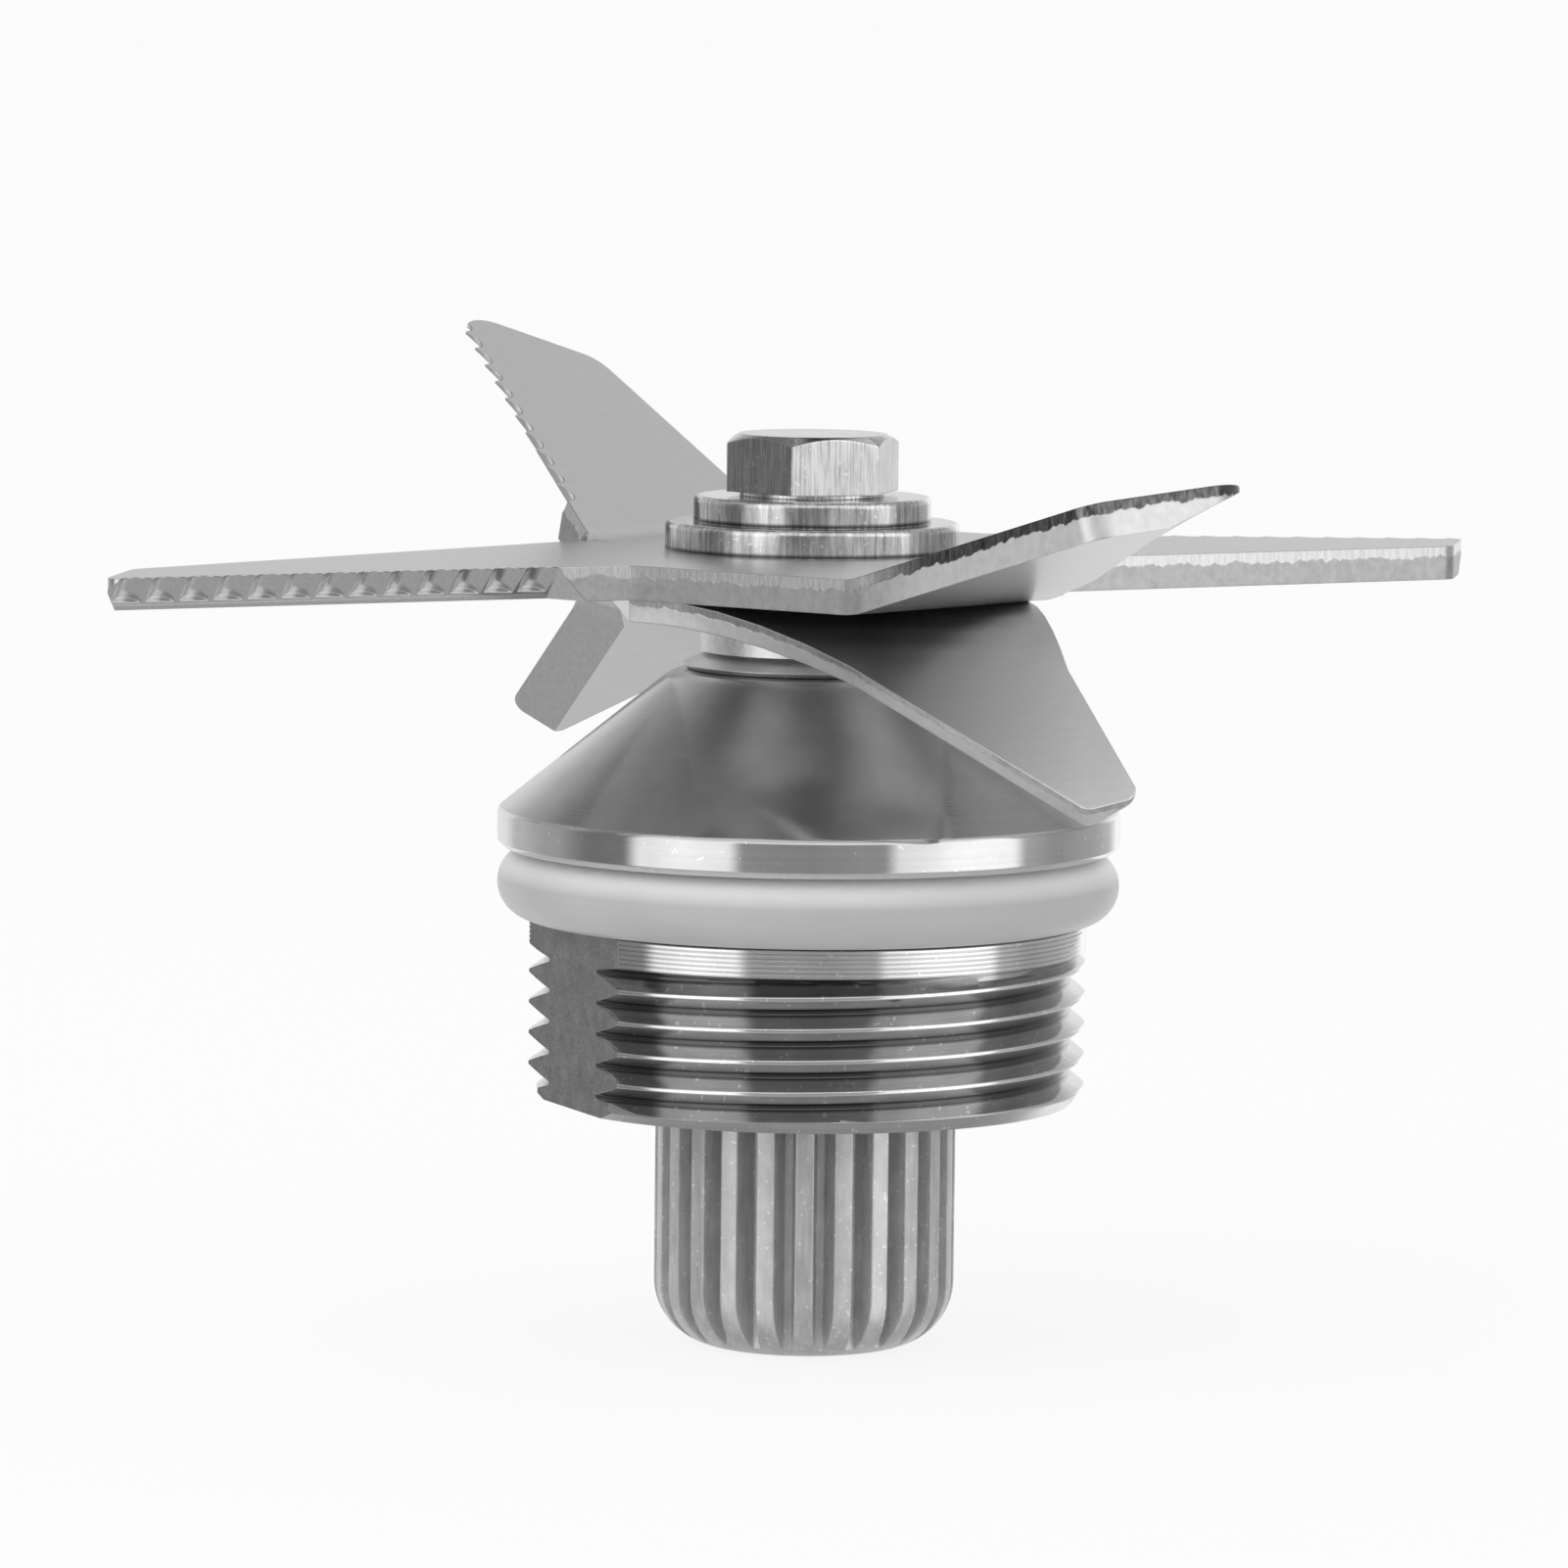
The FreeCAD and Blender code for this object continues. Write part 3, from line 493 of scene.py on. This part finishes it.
# %% An arc at a corner of the section
def softened(before, corner, after, radius, steps):
    a = (Vector(before) - Vector(corner)).normalized()
    b = (Vector(after) - Vector(corner)).normalized()
    half = a.angle(b) / 2
    centre = Vector(corner) + (a + b).normalized() * (radius / math.sin(half))
    start = Vector(corner) + a * (radius / math.tan(half)) - centre
    end = Vector(corner) + b * (radius / math.tan(half)) - centre
    points = []
    for k in range(steps + 1):
        direction = start.lerp(end, k / steps).normalized()
        points.append(tuple(centre + direction * radius))
    return points


rim_edge = (rim_radius, rim_top)
shoulder = (shoulder_radius, housing_top)
rim_arc = softened((rim_radius, rim_bottom), rim_edge, shoulder, radius=0.5, steps=6)
shoulder_arc = softened(rim_edge, shoulder, (mouth_radius, housing_top), radius=2.5, steps=12)
print("points in the two arcs:", len(rim_arc), len(shoulder_arc))

# %% [markdown]
# The thread has a 2 mm pitch and is right-handed: it rises as it goes anticlockwise, seen from above. Its
# crest is a narrow rounded ridge, its flanks are steep, and its root is rounded. The rows of the grid wind
# round the barrel with the thread, so that a crest is one clean line. Half a ridge is a list of steps: how
# far along the pitch, and how deep as a share of the whole depth.

# %% The thread's rows
thread_pitch = 2.0
thread_turns = 7
first_crest = 13.12
run_out = 0.35
clear_foot = 0.3
end_chamfer = 0.9
half_ridge = [(0.0, 0.0), (0.035, 0.0), (0.05, 0.01), (0.065, 0.04), (0.09, 0.12), (0.25, 0.54),
              (0.41, 0.93), (0.44, 0.98), (0.47, 1.0)]
ridge = half_ridge + [(0.5, 1.0)] + [(1.0 - along, deep) for along, deep in half_ridge[:0:-1]]


def thread_point(row, angle):
    """Radius and height of a thread row at an angle, held between the barrel's foot and the collar."""
    along, deep = ridge[row % len(ridge)]
    height = first_crest + thread_pitch * (row // len(ridge) + along + angle / (2 * math.pi))
    if height <= body_bottom:
        return barrel_radius - end_chamfer, body_bottom
    height = min(collar_bottom, height)
    from_foot = max(0.0, height - body_bottom - clear_foot)
    depth = thread_depth * deep * min(1.0, (collar_bottom - height) / run_out, from_foot / run_out)
    return min(barrel_radius - depth, barrel_radius - end_chamfer + height - body_bottom), height


print("rows in one turn of the thread:", len(ridge))

# %% [markdown]
# The section runs from the bore's foot outwards, up the outside, and back down the inside. Each point
# carries the zone of the housing that starts there, and each zone has a finish of its own. A threaded row has
# no radius of its own, and gives its number in place of a height.

# %% The housing's zones
CONE, THREAD, FOOT, BORE, FLAT, RIM, COLLAR = range(7)
zone_finishes = [polished_cone, cut_thread, faced_end, ground_shaft, milled_flat, bright_rim, collar_steel]
print("zones of the housing:", len(zone_finishes))

# %% The section's foot and thread
section = [(bearing_bore, body_bottom, FOOT), (barrel_radius - end_chamfer, body_bottom, FOOT)]
first_thread_row = len(section)
section += [(None, k, THREAD) for k in range(len(ridge) * thread_turns)]
last_thread_row = len(section) - 1
print("threaded rows:", last_thread_row - first_thread_row + 1)

# %% The section's collar
fine_grooves = 6
fine_groove_depth = 0.08
groove_pitch = (collar_top - collar_bottom) / fine_grooves
edge_inset = 0.06
edge_drop = 0.02
for k in range(fine_grooves):
    foot = collar_bottom + groove_pitch * k
    section += [(barrel_radius - fine_groove_depth, foot, COLLAR),
                (barrel_radius, foot + groove_pitch * 0.25, COLLAR),
                (barrel_radius, foot + groove_pitch * 0.75, COLLAR)]
section += [(barrel_radius - edge_inset, collar_top - edge_drop, COLLAR),
            (barrel_radius - edge_inset * 2, collar_top, COLLAR)]
print("fine grooves in the collar:", fine_grooves)

# %% The section's rim, cone and bore
section += [(ring_groove_radius, collar_top, BORE), (ring_groove_radius, rim_bottom, RIM),
            (rim_radius - rim_bevel, rim_bottom, RIM), (rim_radius, rim_bottom + rim_bevel, RIM)]
section += [(radius, height, RIM) for radius, height in rim_arc[:-1]]
section += [(radius, height, CONE) for radius, height in rim_arc[-1:] + shoulder_arc]
section += [(mouth_radius, housing_top, CONE), (mouth_radius, mouth_bottom, CONE)]
section += [(radius, height, BORE) for radius, height in (
    (seal_seat_radius, mouth_bottom), (seal_seat_radius, bearing_top), (bearing_bore, bearing_top),
    (bearing_bore, clip_top), (clip_radius, clip_top), (clip_radius, clip_bottom),
    (bearing_bore, clip_bottom))]
print("rows in the section:", len(section))

# %% [markdown]
# Two flats are milled across the barrel and the collar, on opposite sides. The grid is made round first, and
# then a plane cuts it, as the milling cutter did. The cut leaves an open outline, and one face closes it.

# %% Mill a wrench flat
flat_distance = 16.45
flat_angles = [-155.6, 24.4]
just_above = 0.001
just_inside = 0.01
decimals = 8
same_place = 10 ** -decimals


def mill_flat(shape, degrees):
    """Cut the part below the ring groove with one upright plane, and close the cut with one flat face."""
    direction = math.radians(degrees)
    facing = Vector((math.cos(direction), math.sin(direction), 0.0))
    barrel = [f for f in shape.faces if max(v.co.z for v in f.verts) < (collar_top + just_above) * MM
              and f.calc_center_median().dot(facing) > 0
              and min(math.hypot(v.co.x, v.co.y) for v in f.verts) > (bearing_bore - just_inside) * MM]
    geometry = set(barrel)
    for face in barrel:
        geometry.update(face.edges, face.verts)
    cut = bmesh.ops.bisect_plane(shape, geom=list(geometry), dist=same_place, clear_outer=True,
                                 plane_co=facing * flat_distance * MM, plane_no=facing)
    outline = [e for e in cut["geom_cut"] if isinstance(e, bmesh.types.BMEdge)]
    filled = bmesh.ops.edgenet_fill(shape, edges=outline)["faces"]
    for face in filled:
        face.material_index = FLAT
        face.normal_update()
        if face.normal.dot(facing) < 0:
            face.normal_flip()
    print("the flat has %d faces and %d corners" % (len(filled), len(outline)))


print("flats face", flat_angles, "degrees")

# %% [markdown]
# Spinning the section gives a grid of points, and four neighbours make a face. The thread winds, so after a
# whole turn a threaded row meets the row one pitch up, and not its own start. Rows that are held at the foot
# or at the collar lie on each other, and need no face.


# %% Spin the section
def grid_point(radius, height, angle):
    if radius is None:
        radius, height = thread_point(height, angle)
    return radius * math.cos(angle) * MM, radius * math.sin(angle) * MM, height * MM


def housing_mesh(columns=400):
    """The grid of points joined into faces, with the two flats cut across it."""
    angles = [2 * math.pi * k / columns for k in range(columns)]
    points = [grid_point(radius, height, angle) for radius, height, _ in section for angle in angles]
    shape = bmesh.new()
    corners = [shape.verts.new(p) for p in points]
    for row, (_, _, zone) in enumerate(section):
        start = row * columns
        following = (row + 1) % len(section) * columns
        threaded = first_thread_row <= row < last_thread_row
        for k in range(columns):
            lift = len(ridge) * columns if threaded and k == columns - 1 else 0
            beside = (k + 1) % columns + lift
            indices = (start + k, start + beside, following + beside, following + k)
            places = {tuple(round(c, decimals) for c in points[i]) for i in indices}
            if len(places) >= 3:
                shape.faces.new([corners[i] for i in indices]).material_index = zone
    bmesh.ops.remove_doubles(shape, verts=shape.verts, dist=same_place)
    bmesh.ops.delete(shape, geom=[v for v in shape.verts if not v.link_faces], context="VERTS")
    for degrees in flat_angles:
        mill_flat(shape, degrees)
    mesh = bpy.data.meshes.new("housing_turned")
    shape.to_mesh(mesh)
    shape.free()
    return mesh


body_mesh = housing_mesh()
print("corners of the housing:", len(body_mesh.vertices))

# %% [markdown]
# Faces that meet at a small angle are shaded as one smooth surface, and sharper corners stay crisp. The
# piece rides on the housing's body, and takes the place of the plain solid.


# %% Place the housing
def put_in_scene(name, data):
    thing = bpy.data.objects.new(name, data)
    bpy.context.scene.collection.objects.link(thing)
    return thing


def place_piece(name, mesh, finishes, body, node):
    piece = put_in_scene(name, mesh)
    for finish in finishes:
        mesh.materials.append(finish)
    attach(piece, body)
    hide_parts(node)
    print(name, "has", len(mesh.polygons), "faces")


smoothing_angle = 32
body_mesh.shade_smooth()
body_mesh.set_sharp_from_angle(angle=math.radians(smoothing_angle))
for face in body_mesh.polygons:
    if face.material_index == FLAT:
        face.use_smooth = False
place_piece("housing_turned", body_mesh, zone_finishes, "housing_body", "housing")

# %% [markdown]
# ## The blades
# The two blades keep the shape of their solids. A blade has wide flats and narrow bends between them. If all
# faces were smoothed alike, each flat would shine like a curved sheet. So the corners get directions of their
# own: first the flats are found, and then each corner leans towards the widest flat that it belongs to.


# %% Find the flats of a blade
same_direction = 0.9998


def find_flats(shape):
    """Number the patches of neighbouring faces that point one way. Also give the area of each patch."""
    flat_of = [None] * len(shape.faces)
    areas = []
    for start in shape.faces:
        if flat_of[start.index] is not None:
            continue
        number = len(areas)
        flat_of[start.index] = number
        areas.append(0.0)
        waiting = [start]
        while waiting:
            face = waiting.pop()
            areas[number] += face.calc_area()
            for other in (beside for edge in face.edges for beside in edge.link_faces):
                if flat_of[other.index] is None and other.normal.dot(start.normal) > same_direction:
                    flat_of[other.index] = number
                    waiting.append(other)
    print("flats found:", len(areas))
    return flat_of, areas


# %% Shade the flats flat and the bends smooth
bend_limit = math.cos(math.radians(35))


def lead_by_wide_faces(mesh):
    """Give each corner the mean direction of the faces round it, weighted by how wide the flat is that each
    face belongs to. A wide flat stays flat up to its rim, and a bend blends into it."""
    shape = bmesh.new()
    shape.from_mesh(mesh)
    shape.faces.ensure_lookup_table()
    flat_of, areas = find_flats(shape)
    directions = []
    for face in shape.faces:
        for corner in face.loops:
            mean = Vector()
            for other in corner.vert.link_faces:
                if other.normal.dot(face.normal) > bend_limit:
                    mean += other.normal * areas[flat_of[other.index]]
            directions.append(mean.normalized())
    shape.free()
    mesh.shade_smooth()
    mesh.normals_split_custom_set(directions)


print("faces up to %.0f degrees apart blend" % math.degrees(math.acos(bend_limit)))


# %% [markdown]
# A copy of each blade's mesh is joined up at its seams, and carries the two stored values that the finish
# reads. The upper faces are those that point up. The depth is the distance to the nearest point of them, and
# the lean is the cosine between a face and the upper face nearest to it.

# %% Copy a blade and store its depth and lean
seam_gap = 1e-6


def marked_blade(node_name, upper_face_rise):
    shape = bmesh.new()
    shape.from_mesh(nodes[node_name].data)
    bmesh.ops.remove_doubles(shape, verts=shape.verts, dist=seam_gap)
    mesh = bpy.data.meshes.new(node_name + "_ground")
    shape.to_mesh(mesh)
    shape.free()
    corners = [v.co.copy() for v in mesh.vertices]
    upper = [tuple(p.vertices) for p in mesh.polygons if p.normal.z > upper_face_rise]
    finder = BVHTree.FromPolygons(corners, upper)
    depths = [finder.find_nearest(c)[3] / MM for c in corners]
    leans = [p.normal.dot(finder.find_nearest(p.center)[1]) for p in mesh.polygons]
    mesh.attributes.new("depth", "FLOAT", "POINT").data.foreach_set("value", depths)
    mesh.attributes.new("lean", "FLOAT", "FACE").data.foreach_set("value", leans)
    lead_by_wide_faces(mesh)
    print(node_name, "is %.2f mm thick" % max(depths))
    return mesh


star = marked_blade("upper_blade", upper_face_rise=0.75)
place_piece("star_ground", star, [star_finish], "rotor", "upper_blade")
bent = marked_blade("lower_blade", upper_face_rise=0.6)
place_piece("lower_ground", bent, [lower_finish], "rotor", "lower_blade")

# %% [markdown]
# ## The studio
# Steel shows what stands round it. In a studio for small metal parts that is a pale sweep behind, two tall
# soft boxes to the left and right of the camera, and a darker room in front and overhead. The world's
# colour is that room for reflections, white for the camera, and an even pale grey for everything else.
# A colour ramp holds each row of greys: a place from 0 to 1 along the row, and the grey there.

# %% A ramp of greys
def ramp(graph, value, stops):
    node = graph.add("ShaderNodeValToRGB", i0=value)
    node.color_ramp.interpolation = "EASE"
    points = node.color_ramp.elements
    while len(points) < len(stops):
        points.new(0.5)
    for point, (position, grey) in zip(points, stops):
        point.position = position
        point.color = (grey, grey, grey, 1.0)
    return node.outputs[0]


world = bpy.data.worlds.new("studio")
bpy.context.scene.world = world
world.use_nodes = True
room = Graph(world.node_tree)
# The ray's direction has a length of 1: x goes to the right, y to the back and z up
ray_x, ray_y, ray_z = room.axes(room.add("ShaderNodeTexCoord").outputs["Generated"])
print("the world's graph is empty but for the ray's direction")

# %% [markdown]
# The walls are a row of greys round the object. The back wall is darker above it, and a long lamp hangs above
# the camera.

# %% The walls that the steel reflects
# The back is 0 and 1, the left is 0.25, the camera is 0.5, and the right is 0.75
bearing = room.math("ARCTAN2", ray_x, room.times(ray_y, -1.0))
bearing = room.plus(room.math("DIVIDE", bearing, 2 * math.pi), 0.5)
wall_greys = [
    (0.00, 0.84), (0.08, 1.00), (0.12, 0.70), (0.20, 0.48), (0.26, 0.24), (0.300, 0.26), (0.322, 1.25),
    (0.37, 1.45), (0.415, 1.35), (0.435, 0.38), (0.50, 0.35), (0.577, 0.42), (0.595, 1.15), (0.66, 1.55),
    (0.722, 1.50), (0.745, 0.55), (0.79, 0.42), (0.85, 0.50), (0.90, 0.64), (0.945, 1.20), (1.00, 0.84)]
long_lamp_grey = 1.25
shaded_back_grey = 0.62
shaded = room.times(room.span(ray_z, 0.2, 0.42), room.span(ray_y, 0.2, 0.6))
walls = room.times(ramp(room, bearing, wall_greys), room.blend(shaded, 1.0, shaded_back_grey))
long_lamp = room.times(room.band(ray_z, 0.28, 0.34, 0.58, 0.66), room.span(ray_y, -0.25, -0.45))
walls = room.blend(long_lamp, walls, long_lamp_grey)
print("greys round the walls:", len(wall_greys))

# %% [markdown]
# Overhead, the greys change from left to right, and the part of the ceiling in front of the object is pale.
# Straight below, steel sees the grey table top.

# %% The ceiling and the table
sideways = room.span(ray_x, -1.0, 1.0)
overhead_greys = [
    (0.00, 0.90), (0.20, 0.40), (0.27, 0.17), (0.33, 0.16), (0.39, 0.24), (0.43, 0.36), (0.46, 0.22),
    (0.48, 0.05), (0.575, 0.05), (0.61, 0.20), (0.64, 0.55), (0.66, 0.34), (0.70, 0.30), (0.74, 0.45),
    (0.80, 0.60), (1.00, 0.90)]
front_ceiling_grey = 0.85
table_grey = 0.50
overhead = ramp(room, sideways, overhead_greys)
ceiling = room.blend(room.span(ray_y, 0.02, -0.08), overhead, front_ceiling_grey)
seen_in_steel = room.blend(room.span(ray_z, 0.47, 0.72), walls, ceiling)
seen_in_steel = room.blend(room.span(ray_z, -0.5, -0.8), seen_in_steel, table_grey)
print("greys overhead:", len(overhead_greys))

# %% [markdown]
# A Light Path node tells which kind of ray asks for the colour. Reflected rays get the room, the camera gets
# white, and soft light gets one even grey, so that a colour renders about as it is written.

# %% Join the world's colours
soft_light_grey = 0.82
path = room.add("ShaderNodeLightPath").outputs
unreflected = room.blend(path["Is Camera Ray"], soft_light_grey, 1.0)
room_grey = room.blend(path["Is Glossy Ray"], unreflected, seen_in_steel)
background = room.add("ShaderNodeBackground", Color=room.grey(room_grey), Strength=1.0)
world_output = room.add("ShaderNodeOutputWorld")
room.join(background.outputs[0], world_output.inputs[0])
print("nodes in the world's graph:", len(world.node_tree.nodes))

# %% [markdown]
# One large soft lamp above and behind the camera's left shoulder gives the faint shadow on the floor. Steel
# doesn't mirror it, because the room already has its lamps.

# %% The lamp
lamp_data = bpy.data.lights.new("soft_lamp", "AREA")
lamp_data.shape = "RECTANGLE"
lamp_data.size = 0.6
lamp_data.size_y = 0.6
lamp_data.energy = 1.6
lamp = put_in_scene("soft_lamp", lamp_data)
lamp.location = (-0.35, -0.45, 0.75)
middle_of_part = Vector((0.0, 0.0, 0.03))
lamp.rotation_euler = (middle_of_part - lamp.location).to_track_quat("-Z", "Y").to_euler()
lamp.visible_glossy = False
print("lamp stands %.0f mm from the part" % (lamp.location.length / MM))

# %% [markdown]
# The floor is a wide pale sheet at the height of the part's foot. The camera sees it nearly white and with
# the part's shadow, and reflections look past it into the room.

# %% The floor
reach = 30.0
glow_share = 0.86
floor_mesh = bpy.data.meshes.new("floor")
floor_mesh.from_pydata([(-reach, -reach, 0), (reach, -reach, 0), (reach, reach, 0), (-reach, reach, 0)],
                       [], [(0, 1, 2, 3)])
floor = put_in_scene("floor", floor_mesh)
floor.visible_glossy = False
pale = Finish("pale_floor")
matt = pale.add("ShaderNodeBsdfDiffuse", Color=(0.9, 0.9, 0.9, 1)).outputs[0]
glow = pale.add("ShaderNodeEmission", Color=(1, 1, 1, 1), Strength=1.0).outputs[0]
share = pale.times(pale.add("ShaderNodeLightPath").outputs["Is Camera Ray"], glow_share)
surface = pale.add("ShaderNodeMixShader", i0=share, i1=matt, i2=glow).outputs[0]
pale.join(surface, pale.add("ShaderNodeOutputMaterial").inputs[0])
floor_mesh.materials.append(pale.material)
print("floor laid at z = 0")

# %% [markdown]
# ## The camera
# The picture was taken from in front and a little above, with a long lens. The camera stands 570 mm away and
# 93 mm up, looks 5.76 degrees down and leans by less than a degree. The small shifts put the part where it
# stands in the frame.

# %% The camera
photo_width = 1601
focal_pixels = 9054.0
centre_x = 826.2
centre_y = 808.6
camera_distance = 570.0
camera_height = 93.4
looks_down = 5.76
leans = 0.65
view = bpy.data.cameras.new("view")
view.sensor_width = 36.0
view.lens = focal_pixels / photo_width * view.sensor_width
view.shift_x = -(centre_x - photo_width / 2) / photo_width
view.shift_y = (centre_y - photo_width / 2) / photo_width
view.clip_end = 100.0
camera = put_in_scene("view", view)
tilt = Matrix.Rotation(math.radians(90.0 - looks_down), 4, "X")
roll = Matrix.Rotation(math.radians(leans), 4, "Z")
camera.matrix_world = Matrix.Translation((0.0, -camera_distance * MM, camera_height * MM)) @ tilt @ roll
bpy.context.scene.camera = camera
bpy.context.scene.view_settings.view_transform = "Standard"
print("lens %.1f mm" % view.lens)

# %% [markdown]
# ## Finish
# The last cell says that the scene is built.

# %% The end
print("the scene is built")
